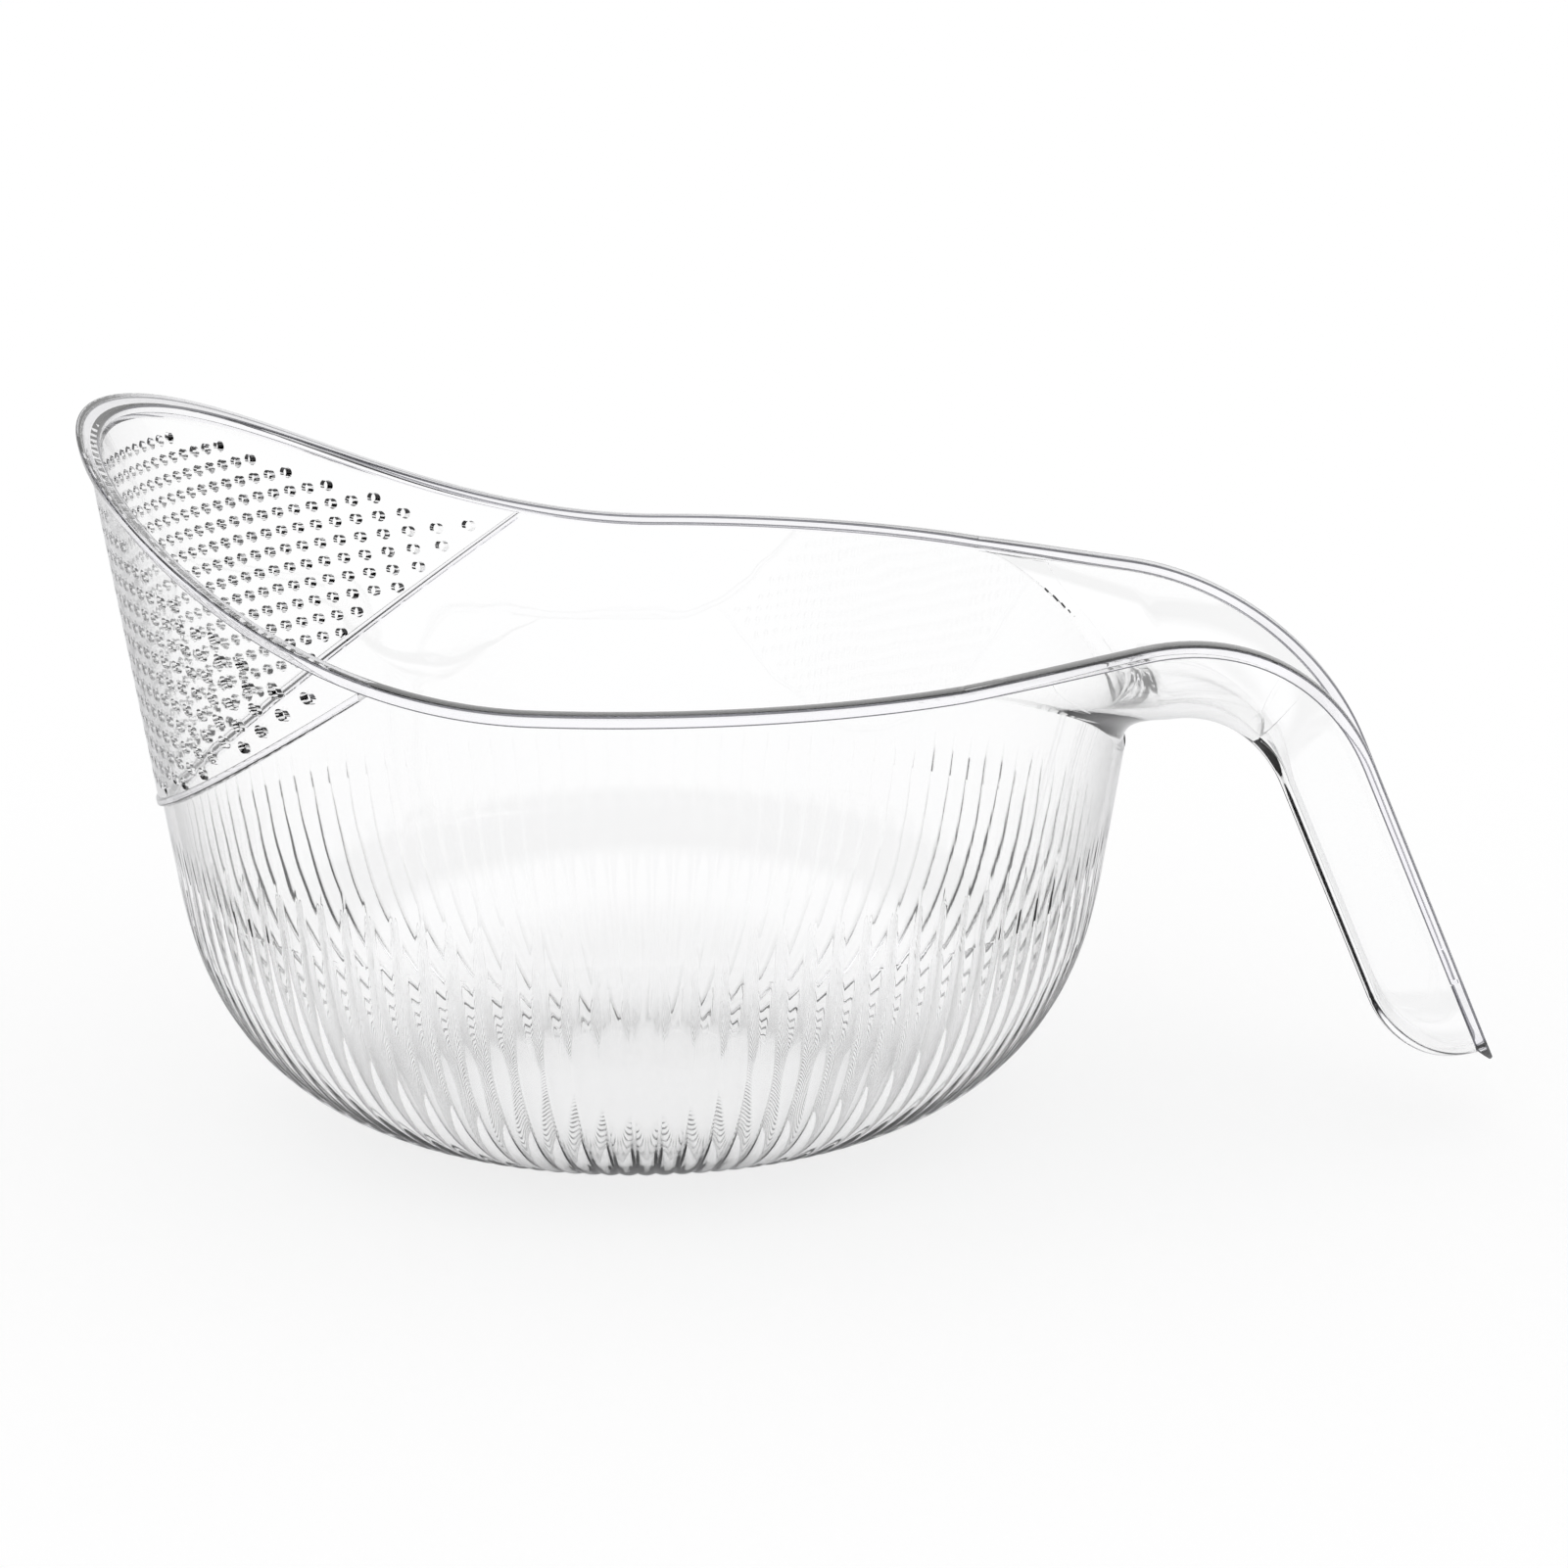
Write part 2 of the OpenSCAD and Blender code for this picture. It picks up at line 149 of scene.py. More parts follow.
PLASTIC_IOR = 1.49
CLOUD_SIZE, CLOUD_DETAIL, CLOUD_LIGHTER, MOST_ROUGH = 30.0, 3.0, 1.02, 0.035
WAVE_DETAIL, WAVE_HEIGHT = 1.0, 0.0006


def plastic(name, tint, dark, painted_shade_power, waves, wave_size):
    """Clear plastic: colourless seen square on, with painted shade where it is seen edge on in place of the
    dark refracted lines, and faint flow waves.
    """
    material = bpy.data.materials.new(name)
    material.use_nodes = True
    nodes, links = material.node_tree.nodes, material.node_tree.links
    shader = nodes["Principled BSDF"]
    shader.inputs["IOR"].default_value = PLASTIC_IOR
    shader.inputs["Transmission Weight"].default_value = 1.0
    place = nodes.new("ShaderNodeTexCoord")
    # Painted shade: a mask from the view's facing that grows towards grazing angles, standing in for the dark
    # refracted edges of clear plastic
    facing = nodes.new("ShaderNodeLayerWeight")
    facing.inputs["Blend"].default_value = 0.5
    painted_shade_mask = nodes.new("ShaderNodeMath")
    painted_shade_mask.operation = "POWER"
    painted_shade_mask.inputs[1].default_value = painted_shade_power
    links.new(facing.outputs["Facing"], painted_shade_mask.inputs[0])
    cloud = nodes.new("ShaderNodeTexNoise")
    cloud.inputs["Scale"].default_value = CLOUD_SIZE
    cloud.inputs["Detail"].default_value = CLOUD_DETAIL
    links.new(place.outputs["Object"], cloud.inputs["Vector"])
    clear = nodes.new("ShaderNodeMix")
    clear.data_type = "RGBA"
    clear.inputs[6].default_value = (*tint, 1)
    clear.inputs[7].default_value = (*[min(1.0, t * CLOUD_LIGHTER) for t in tint], 1)
    links.new(cloud.outputs["Fac"], clear.inputs[0])
    # Painted shade: the tint is mixed towards the dark colour where the mask is high
    edge = nodes.new("ShaderNodeMix")
    edge.data_type = "RGBA"
    edge.inputs[7].default_value = (*dark, 1)
    links.new(painted_shade_mask.outputs["Value"], edge.inputs[0])
    links.new(clear.outputs[2], edge.inputs[6])
    links.new(edge.outputs[2], shader.inputs["Base Color"])
    rough = nodes.new("ShaderNodeMapRange")
    rough.inputs["To Min"].default_value = 0.0
    rough.inputs["To Max"].default_value = MOST_ROUGH
    links.new(cloud.outputs["Fac"], rough.inputs["Value"])
    links.new(rough.outputs["Result"], shader.inputs["Roughness"])
    flow = nodes.new("ShaderNodeTexNoise")
    flow.inputs["Scale"].default_value = wave_size
    flow.inputs["Detail"].default_value = WAVE_DETAIL
    links.new(place.outputs["Object"], flow.inputs["Vector"])
    bump = nodes.new("ShaderNodeBump")
    bump.inputs["Strength"].default_value = waves
    bump.inputs["Distance"].default_value = WAVE_HEIGHT
    links.new(flow.outputs["Fac"], bump.inputs["Height"])
    links.new(bump.outputs["Normal"], shader.inputs["Normal"])
    return material


def joint_material():
    """Where two pieces of the one moulding touch, nothing is seen."""
    material = bpy.data.materials.new("moulded_through")
    material.use_nodes = True
    nodes, links = material.node_tree.nodes, material.node_tree.links
    nodes.remove(nodes["Principled BSDF"])
    through = nodes.new("ShaderNodeBsdfTransparent")
    links.new(through.outputs["BSDF"], nodes["Material Output"].inputs["Surface"])
    return material


# Tint, painted shade colour where seen edge on, how narrow that painted shade is, and the strength and
# fineness of the waves
CLEAR = plastic("clear_plastic_wall", (0.998, 0.999, 1.0), (0.005, 0.005, 0.01), 5.5, 0.15, 45.0)
FLUTED = plastic("clear_plastic_flutes", (0.998, 0.999, 1.0), (0.01, 0.01, 0.015), 4.2, 0.12, 60.0)
BEAD = plastic("clear_plastic_bead", (0.965, 0.96, 0.982), (0.0, 0.0, 0.005), 3.4, 0.1, 70.0)
HANDLE = plastic("clear_plastic_handle", (0.998, 0.999, 1.0), (0.03, 0.035, 0.045), 6.8, 0.08, 50.0)
# Painted shade: a near-black tint for rounded corners, in place of the dark refracted lines of clear plastic
PAINTED_CORNER_SHADE = plastic("clear_plastic_corner_painted_shade", (0.1, 0.1, 0.115), (0.0, 0.0, 0.003), 0.6, 0.05, 70.0)
JOINT = joint_material()

# Material slots of each piece after its own first one
TOUCHING, PAINTED_SHADE_SLOT = 1, 2


# Meshes


def face_outwards(mesh):
    work = bmesh.new()
    work.from_mesh(mesh)
    bmesh.ops.recalc_face_normals(work, faces=work.faces)
    work.to_mesh(mesh)
    work.free()


def make_piece(name, node, material, patches, smooth_angle=SMOOTH_ANGLE):
    """A closed solid from grids of points in millimetres; a patch marked True touches its neighbour.

    A patch marked with the corner slot is a rounded corner, given painted shade: a dark tint standing in for
    the dark lines that refraction draws on the clear moulding.
    """
    points, faces, marks = [], [], []
    start = 0
    for grid, touching in patches:
        rows, columns = grid.shape[:2]
        points.append(grid.reshape(-1, 3))
        index = start + np.arange(rows * columns).reshape(rows, columns)
        quads = np.stack([index[:-1, :-1], index[:-1, 1:], index[1:, 1:], index[1:, :-1]], -1).reshape(-1, 4)
        faces.append(quads)
        marks.append(np.full(len(quads), int(touching)))
        start += rows * columns
    points = np.concatenate(points)
    faces = np.concatenate(faces)
    marks = np.concatenate(marks)
    keys = np.round(points / SAME_POINT).astype(np.int64)
    _, first, merged = np.unique(keys, axis=0, return_index=True, return_inverse=True)
    faces = merged.reshape(-1)[faces]
    corners = [list(dict.fromkeys(face)) for face in faces.tolist()]
    kept = [k for k, face in enumerate(corners) if len(face) > 2]
    mesh = bpy.data.meshes.new(name)
    mesh.from_pydata((points[first] / 1000).tolist(), [], [corners[k] for k in kept])
    mesh.materials.append(material)
    mesh.materials.append(JOINT)
    mesh.materials.append(PAINTED_CORNER_SHADE)
    mesh.polygons.foreach_set("material_index", marks[kept].astype(np.int32))
    face_outwards(mesh)
    piece = bpy.data.objects.new(name, mesh)
    bpy.context.scene.collection.objects.link(piece)
    finish_piece(piece, node, smooth_angle)
    return piece


def finish_piece(piece, node, smooth_angle):
    """Smooth shading that stops where a face touches a neighbour, and the piece's place in the frame."""
    mesh = piece.data
    mesh.shade_smooth()
    mesh.set_sharp_from_angle(angle=math.radians(smooth_angle))
    work = bmesh.new()
    work.from_mesh(mesh)
    for edge in work.edges:
        if len({face.material_index == TOUCHING for face in edge.link_faces}) > 1:
            edge.smooth = False
    work.to_mesh(mesh)
    work.free()
    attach(piece, "root")
    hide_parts(node)


def shell(outer, inner):
    """Patches of a solid between two grids of the same shape, which touches its neighbours all round."""
    return [
        (outer, False),
        (inner, False),
        (np.stack([outer[0], inner[0]]), True),
        (np.stack([outer[-1], inner[-1]]), True),
        (np.stack([outer[:, 0], inner[:, 0]]), True),
        (np.stack([outer[:, -1], inner[:, -1]]), True),
    ]


def fan(loop, middle):
    """Patch from an outline, or a part of one, to its middle, where a piece ends against the next."""
    return np.stack([loop, np.broadcast_to(middle, loop.shape)]), True


def bottom_point(turn, top_r, low_r, low_z):
    e = 2 / BOTTOM_POWER
    z = BELLY_H - (BELLY_H - low_z) * np.sin(turn) ** e
    span = top_r - LEAN * (BELLY_H - low_z) - low_r
    return top_r - LEAN * (BELLY_H - z) - span * (1 - np.maximum(np.cos(turn), 0) ** e), z


def flute_cut(theta, z, radius):
    """Depth of the flutes below the plain bowl: sharp grooves that widen downwards into full flutes."""
    across = np.abs(((theta * FLUTES / (2 * math.pi)) % 1.0) - 0.5) * 2
    down = np.clip((FLUTE_TOP - z) / (FLUTE_TOP - FLUTE_FULL), 0, 1)
    width = mix(FLUTE_NARROW, 1.0, down**FLUTE_WIDEN_POWER)
    depth = FLUTE_DEPTH * down**FLUTE_DEEPEN_POWER * np.clip(radius / FLUTE_FADE_R, 0, 1)
    return depth * (1 - np.sin(np.clip(across / width, 0, 1) * math.pi / 2))


THETA = np.linspace(0, 2 * math.pi, FLUTES * FLUTE_PARTS + 1)


def make_bottom():
    turns = np.radians(BOTTOM_DEGREES)
    radius, z = bottom_point(turns, BELLY_R, BASE_R, 0.0)
    slope = np.arctan2(np.gradient(radius), -np.gradient(z))
    fade = np.clip((math.pi / 2 - turns) / FLUTE_END_TURN, 0, 1)
    cut = flute_cut(THETA[None, :], z[:, None], radius[:, None]) * fade[:, None]
    outer = around(radius[:, None] - cut * np.cos(slope)[:, None], THETA[None, :],
                   z[:, None] - cut * np.sin(slope)[:, None])
    inner_r, inner_z = bottom_point(turns, BELLY_R - WALL_X, BASE_R, BASE_T)
    inner = around(inner_r[:, None], THETA[None, :], inner_z[:, None])
    outer[-1] = around(BASE_R, THETA, 0.0)
    patches = [
        (outer, False),
        (inner, False),
        (np.stack([outer[0], inner[0]]), True),
        (np.stack([outer[-1], inner[-1]]), True),
    ]
    make_piece("fluted_bottom_visual", "fluted_bottom", FLUTED, patches, FLUTE_SMOOTH_ANGLE)


def make_base():
    shares = np.linspace(0, 1, 12)[:, None]
    top = around(BASE_R * shares, THETA[None, :], BASE_T)
    low = around(BASE_R * shares, THETA[None, :], 0.0)
    patches = [(top, False), (low, False), (np.stack([top[-1], low[-1]]), True)]
    make_piece("standing_base_visual", "standing_base", CLEAR, patches)


# Handle


JOIN_Y = math.sqrt(wall_r(SIDE_H) ** 2 - JOIN_X**2)
ROOT_LEN = (BEND_X - JOIN_X) / math.cos(RISE)
BEND_TURN = BEND_ANGLE + RISE
BEND_LEN = BEND_R * BEND_TURN
LEG_START = ROOT_LEN + BEND_LEN
LEG_END = LEG_START + LEG_LEN
ROOT_END = ROOT_LEN + BEND_LEN * ROOT_END_SHARE
FLARE_DROP = JOIN_Y - LEG_HALF
FLARE_EASE = FLARE_POWER - JOIN_X / JOIN_Y * FLARE_LEN / FLARE_DROP
CENTRE_X = BEND_X + BEND_R * math.sin(RISE)
CENTRE_Z = SIDE_H + ROOT_LEN * math.sin(RISE) - BEND_R * math.cos(RISE)
FLOOR_Z = SIDE_H - ROOT_DEPTH - FLOOR_BEND_R
FLOOR_X = CENTRE_X + (BEND_R - LEG_DEPTH - FLOOR_BEND_R
                      - (FLOOR_Z - CENTRE_Z) * math.cos(BEND_ANGLE)) / math.sin(BEND_ANGLE)
DOWN_LEG = np.array([math.cos(BEND_ANGLE), 0.0, -math.sin(BEND_ANGLE)])


def half_width(s):
    left = 1 - min(1.0, s / FLARE_LEN)
    return LEG_HALF + FLARE_DROP * left**FLARE_POWER * (1 + FLARE_EASE * (1 - left))


def widen(s):
    left = 1 - min(1.0, s / FLARE_LEN)
    slope = FLARE_DROP / FLARE_LEN * left ** (FLARE_POWER - 1) * (
        FLARE_POWER * (1 + FLARE_EASE * (1 - left)) - FLARE_EASE * left)
    return math.sqrt(1 + slope * slope)


def rim_at(s):
    if s <= ROOT_LEN:
        return np.array([JOIN_X + s * math.cos(RISE), SIDE_H + s * math.sin(RISE)])
    share = min(1.0, (s - ROOT_LEN) / BEND_LEN)
    a = BEND_TURN * share - RISE
    along = max(0.0, s - LEG_START)
    return np.array([CENTRE_X + BEND_R * math.sin(a) + along * DOWN_LEG[0],
                     CENTRE_Z + BEND_R * math.cos(a) + along * DOWN_LEG[2]])


def floor_at(s):
    if s <= ROOT_LEN:
        return np.array([mix(JOIN_X, FLOOR_X, s / ROOT_LEN), SIDE_H - ROOT_DEPTH])
    share = min(1.0, (s - ROOT_LEN) / BEND_LEN)
    a = BEND_ANGLE * share
    along = max(0.0, s - LEG_START)
    return np.array([FLOOR_X + FLOOR_BEND_R * math.sin(a) + along * DOWN_LEG[0],
                     FLOOR_Z + FLOOR_BEND_R * math.cos(a) + along * DOWN_LEG[2]])


def depth_at(s):
    return float(np.linalg.norm(floor_at(s) - rim_at(s)))


def handle_point(s, q, y):
    p = rim_at(s) + q * (floor_at(s) - rim_at(s))
    return [p[0], y, p[1]]


def section_angle(i, depth):
    return mix(math.asin(BEAD_H / depth), math.pi / 2, i / SECTION_STEPS)


def outer_point(s, i, fillet=0.0):
    b = section_angle(i, depth_at(s))
    lower = 1 + fillet * math.sin(b) ** FILLET_POWER
    return handle_point(s, math.sin(b) * lower, mix(FLOOR_HALF, half_width(s), math.cos(b)))


def inner_point(s, i, pad=0.0):
    depth = depth_at(s) - WALL - pad
    b = section_angle(i, depth)
    return handle_point(s, math.sin(b) * depth / depth_at(s),
                        mix(FLOOR_HALF - WALL / 2, half_width(s) - WALL * widen(s), math.cos(b)))


def root_start(i, inside):
    """Distance along the rim at which a line of the root leaves the bowl's wall."""
    low, high = 0.0, ROOT_LEN
    for _ in range(ROOT_HALVINGS):
        middle = (low + high) / 2
        x, y, z = inner_point(middle, i) if inside else outer_point(middle, i, ROOT_FILLET / ROOT_DEPTH)
        if math.hypot(x, y) > wall_r(z):
            high = middle
        else:
            low = middle
    return (low + high) / 2


def fillet_share(d):
    if d >= ROOT_FILLET:
        return 0.0
    return (1 - math.sqrt(1 - (1 - d / ROOT_FILLET) ** 2)) * ROOT_FILLET / ROOT_DEPTH


def both_halves(half):
    """A section from the rail at the front round to the rail at the back."""
    front = [[p[0], -p[1], p[2]] for p in half]
    return front + half[::-1]


LINES = np.linspace(0, SECTION_STEPS, 22)


def make_root():
    out_start = [root_start(i, False) for i in LINES]
    in_start = [root_start(i, True) for i in LINES]
    bends = np.linspace(ROOT_LEN, ROOT_END, 17)[1:]
    outer, inner = [], []
    for u in ROOT_SHARES:
        half = []
        for i, start in zip(LINES, out_start):
            s = mix(start, ROOT_LEN, u)
            half.append(outer_point(s, i, fillet_share(s - start)))
        outer.append(both_halves(half))
        half = [inner_point(mix(start, ROOT_LEN, u), i) for i, start in zip(LINES, in_start)]
        inner.append(both_halves(half))
    for s in bends:
        outer.append(both_halves([outer_point(s, i) for i in LINES]))
        inner.append(both_halves([inner_point(s, i) for i in LINES]))
    patches = shell(np.array(outer), np.array(inner))
    make_piece("handle_root_visual", "handle_root", HANDLE, patches)


def make_gutter():
    stations = np.concatenate([np.linspace(ROOT_END, LEG_START, 13), np.linspace(LEG_START, LEG_END, 16)[1:]])
    outer = np.array([both_halves([outer_point(s, i) for i in LINES]) for s in stations])
    rows = []
    for s in stations:
        pad = FLOOR_STEP * max(0.0, 1 - (s - ROOT_END) / (LEG_START - ROOT_END))
        rows.append(both_halves([inner_point(s, i, pad) for i in LINES]))
    inner = np.array(rows)
    step = both_halves([inner_point(ROOT_END, i) for i in LINES])
    patches = [
        (outer, False),
        (inner, False),
        (np.stack([outer[0], np.array(step)]), True),
        (np.stack([np.array(step), inner[0]]), False),
        (np.stack([outer[-1], inner[-1]]), True),
        (np.stack([outer[:, 0], inner[:, 0]]), True),
        (np.stack([outer[:, -1], inner[:, -1]]), True),
    ]
    make_piece("handle_gutter_visual", "handle_gutter", HANDLE, patches)


def make_end_cap():
    top = np.array(handle_point(LEG_END, BEAD_H / depth_at(LEG_END), 0.0))
    outer_start = np.array(both_halves([outer_point(LEG_END, i) for i in LINES]))
    inner_start = np.array(both_halves([inner_point(LEG_END, i) for i in LINES]))
    turns = END_TURN * np.linspace(0, 1, 20)

    def turned(start, length):
        return np.array([top + (start - top) * math.cos(t) + DOWN_LEG * length * math.sin(t) for t in turns])

    outer, inner = turned(outer_start, END_LEN), turned(inner_start, END_LEN - WALL)
    make_piece("handle_end_cap_visual", "handle_end_cap", HANDLE, shell(outer, inner))


# The bead's section, in millimetres out from the wall's outer face and down from the bead's top


def rounded(corner_out, corner_drop, radius, first, last, steps=5):
    """Points of one rounded corner, with angles in degrees from outwards to up."""
    angles = np.radians(np.linspace(first, last, steps))
    return [(corner_out + radius * math.cos(a), corner_drop - radius * math.sin(a)) for a in angles]


def bead_section(inside, outside, height):
    """From the inner face up over the top and down to the underside at the wall's outer face."""
    return ([(-inside, height)]
            + rounded(BEAD_INNER_CORNER - inside, BEAD_INNER_CORNER, BEAD_INNER_CORNER, 180, 90)
            + rounded(outside - BEAD_OUTER_CORNER, BEAD_OUTER_CORNER, BEAD_OUTER_CORNER, 90, 0)
            + rounded(outside - BEAD_LOW_CORNER, height - BEAD_LOW_CORNER, BEAD_LOW_CORNER, 0, -90)
            + [(0.0, height)])


def bead_strips(face):
    """The bead's rows from its inner face over the top, with painted shade on its rounded corners as dark
    lines.
    """
    corners = {(1, 5), (7, 9), (11, 15)}
    cuts = [0, 1, 5, 7, 9, 11, 15, len(face) - 1]
    return [(face[a:b + 1], PAINTED_SHADE_SLOT if (a, b) in corners else False) for a, b in zip(cuts[:-1], cuts[1:])]


def make_rim():
    section = bead_section(WALL_X, FLANGE, BEAD_H)
    under = [(STEP_OUT, BEAD_H), (0.0, BEAD_H), (-PANEL_IN, BEAD_H), (-WALL_X, BEAD_H)]
    lines = []
    for out, drop in section[:-1] + under:
        radius = wall_r(SIDE_H - drop) + out
        first = math.acos(JOIN_X / radius)
        theta = mix(first, 2 * math.pi - first, np.linspace(0, 1, RIM_COLUMNS))
        z = rim_height(theta, out) - drop
        lines.append(around(wall_r(z) + out, theta, z))
    face, strips = np.array(lines[:-3]), lines[-4:]
    middle = RIM_COLUMNS // 2
    reach = int(strainer_reach() / (math.pi - math.acos(JOIN_X / wall_r(SIDE_H))) * middle)
    spans = [(0, middle + 1 - reach, False), (middle - reach, middle + 1 + reach, True),
             (middle + reach, RIM_COLUMNS, False)]
    patches = bead_strips(face) + [(np.stack(strips[1:3]), True)]
    for a, b, over_panel in spans:
        patches.append((np.stack(strips[:2])[:, a:b], over_panel))
        patches.append((np.stack(strips[2:])[:, a:b], not over_panel))
    for k in (0, -1):
        loop = np.array([line[k] for line in lines])
        patches.append(fan(loop, loop.mean(0)))
    make_piece("rim_bead_visual", "rim_bead", BEAD, patches)


def make_rail(name, node, side):
    stations = np.concatenate([np.linspace(0, ROOT_LEN, 22), np.linspace(ROOT_LEN, LEG_START, 26)[1:],
                               np.linspace(LEG_START, LEG_END, 12)[1:]])
    section = bead_section(WALL, FLANGE, BEAD_H)
    grid, strip = [], []
    for s in stations:
        depth = depth_at(s)
        lean = LEAN * max(0.0, 1 - s / RAIL_LEAN_LEN)
        b = section_angle(0, depth)
        wall_out = mix(FLOOR_HALF, half_width(s), math.cos(b))
        wall_in = mix(FLOOR_HALF - WALL / 2, half_width(s) - WALL * widen(s), math.cos(b))
        row = []
        for out, drop in section[:-1]:
            y = half_width(s) + (out - lean * drop) * widen(s)
            row.append(handle_point(s, drop / depth, -side * y))
        under_out = handle_point(s, BEAD_H / depth, -side * (wall_out - lean * BEAD_H * widen(s)))
        under_in = handle_point(s, BEAD_H / depth, -side * (wall_in - lean * BEAD_H * widen(s)))
        row.append(under_out)
        grid.append(row)
        strip.append([under_out, under_in, row[0]])
    grid = np.array(grid)
    strip = np.array(strip)
    patches = bead_strips(grid.swapaxes(0, 1)) + [(strip[:, :2], True), (strip[:, 1:], False)]
    for k in (0, -1):
        loop = np.concatenate([grid[k], strip[k, 1:]])
        patches.append(fan(loop, loop.mean(0)))
    make_piece(name, node, BEAD, patches)


def make_lip():
    """Flat rim round the rounded end, drawn out into a thin pointed lip."""
    place = np.array(handle_point(LEG_END, 0.0, 0.0))
    up = np.array([math.sin(BEND_ANGLE), 0.0, math.cos(BEND_ANGLE)])
    side = np.array([0.0, 1.0, 0.0])
    reach = END_LEN + LIP_LEN
    outer_half, open_half, open_len = LEG_HALF + FLANGE, LEG_HALF - WALL, END_LEN - WALL
    shares = np.sin(np.linspace(0, math.pi / 2, 30))
    sides = {}
    for sign in (-1, 1):
        sides[sign] = [(reach * t, sign * outer_half * (1 - t**TIP_POWER)) for t in shares]
    outline = sides[-1] + sides[1][-2::-1]
    turns = np.linspace(-math.pi / 2, math.pi / 2, len(outline))
    hollow = [(open_len * math.cos(t), open_half * math.sin(t)) for t in turns]
    rows = {}
    for (a, b), (c, d) in zip(outline, hollow):
        thin = BEAD_H * mix(1.0, LIP_TIP_SHARE, max(0.0, (a - open_len) / (reach - open_len)))
        pull = 1 - LIP_TOP_CORNER / max(math.hypot(a, b), 1)
        edge = min(LIP_EDGE_CORNER, thin * LIP_EDGE_SHARE)
        foot = thin - min(LIP_FOOT_CORNER, thin * LIP_FOOT_SHARE)
        rows.setdefault("outer_top", []).append(place + DOWN_LEG * a * pull + side * b * pull)
        rows.setdefault("outer_edge", []).append(place + DOWN_LEG * a + side * b - up * edge)
        rows.setdefault("outer_foot", []).append(place + DOWN_LEG * a + side * b - up * foot)
        rows.setdefault("outer_low", []).append(place + DOWN_LEG * a + side * b - up * thin)
        rows.setdefault("inner_top", []).append(place + DOWN_LEG * c + side * d)
        rows.setdefault("inner_low", []).append(place + DOWN_LEG * c + side * d - up * BEAD_H)
    r = {key: np.array(value) for key, value in rows.items()}
    ring = [r["inner_low"], r["inner_top"], r["outer_top"], r["outer_edge"], r["outer_foot"], r["outer_low"]]
    patches = [(np.stack(ring[:3]), False), (np.stack([ring[-1], ring[0]]), False)]
    # The lip's rounded edges get the painted shade of the corner slot
    patches += [(np.stack(ring[k:k + 2]), mark) for k, mark in ((2, PAINTED_SHADE_SLOT), (3, False), (4, PAINTED_SHADE_SLOT))]
    for k in (0, -1):
        loop = np.array([part[k] for part in ring])
        patches.append(fan(loop, loop.mean(0)))
        patches.append(fan(np.array([ring[-1][k], ring[0][k]]), loop.mean(0)))
    make_piece("hanging_lip_visual", "hanging_lip", BEAD, patches)


# Wall and strainer


def root_outline(theta, inside):
    """Height at which the handle's root meets the bowl's outer face, at each angle round the bowl."""
    fillet = 0.0 if inside else ROOT_FILLET / ROOT_DEPTH
    points = []
    for i in np.linspace(0, SECTION_STEPS, 80):
        s = root_start(i, inside)
        points.append(inner_point(s, i) if inside else outer_point(s, i, fillet))
    angle = np.array([math.atan2(p[1], p[0]) for p in points])[::-1]
    z = np.array([p[2] for p in points])[::-1]
    half = from_handle(theta)
    heights = np.interp(half, angle, z)
    return np.where(half <= angle[-1], heights, NO_EDGE)


def handle_inside_r(theta, z):
    """Distance from the axis at which the handle's inner face is met at an angle and a height, or 0."""
    low, high = 0.0, ROOT_LEN
    point = None
    for _ in range(ROOT_HALVINGS):
        s = (low + high) / 2
        rim, floor, depth = rim_at(s), floor_at(s), depth_at(s)
        q = max((rim[1] - z) / (rim[1] - floor[1]), BEAD_H / depth)
        rise = q * depth / (depth - WALL)
        if rise >= 1:
            return 0.0
        y = mix(FLOOR_HALF - WALL / 2, half_width(s) - WALL * widen(s), math.sqrt(1 - rise * rise))
        point = (rim[0] + q * (floor[0] - rim[0]), y)
        if math.atan2(y, point[0]) > theta:
            low = s
        else:
            high = s
    return math.hypot(*point)


def wall_inside(theta, z, notch, sill):
    """Inner radius of the wall, which thins out towards the handle's opening."""
    radius = wall_r(z) - WALL_X
    half = from_handle(theta)
    for k in np.nonzero(half < OPENING_HALF)[0]:
        for j in range(z.shape[0]):
            height = z[j, k]
            if height > sill - OPENING_FADE_LOW and half[k] > 1e-3:
                fade = min(1.0, (height - sill + OPENING_FADE_LOW) / OPENING_FADE)
                reach = min(handle_inside_r(half[k], height), wall_r(height) - OPENING_SKIN)
                radius[j, k] += fade * max(0.0, reach - radius[j, k])
            near = notch[k] - height
            if near < OPENING_ROUND:
                t = 1 - near / OPENING_ROUND
                rounded_in = (WALL_X - OPENING_LIP) * (1 - math.sqrt(max(0.0, 1 - t * t)))
                radius[j, k] = max(radius[j, k], wall_r(height) - WALL_X + rounded_in)
    return radius


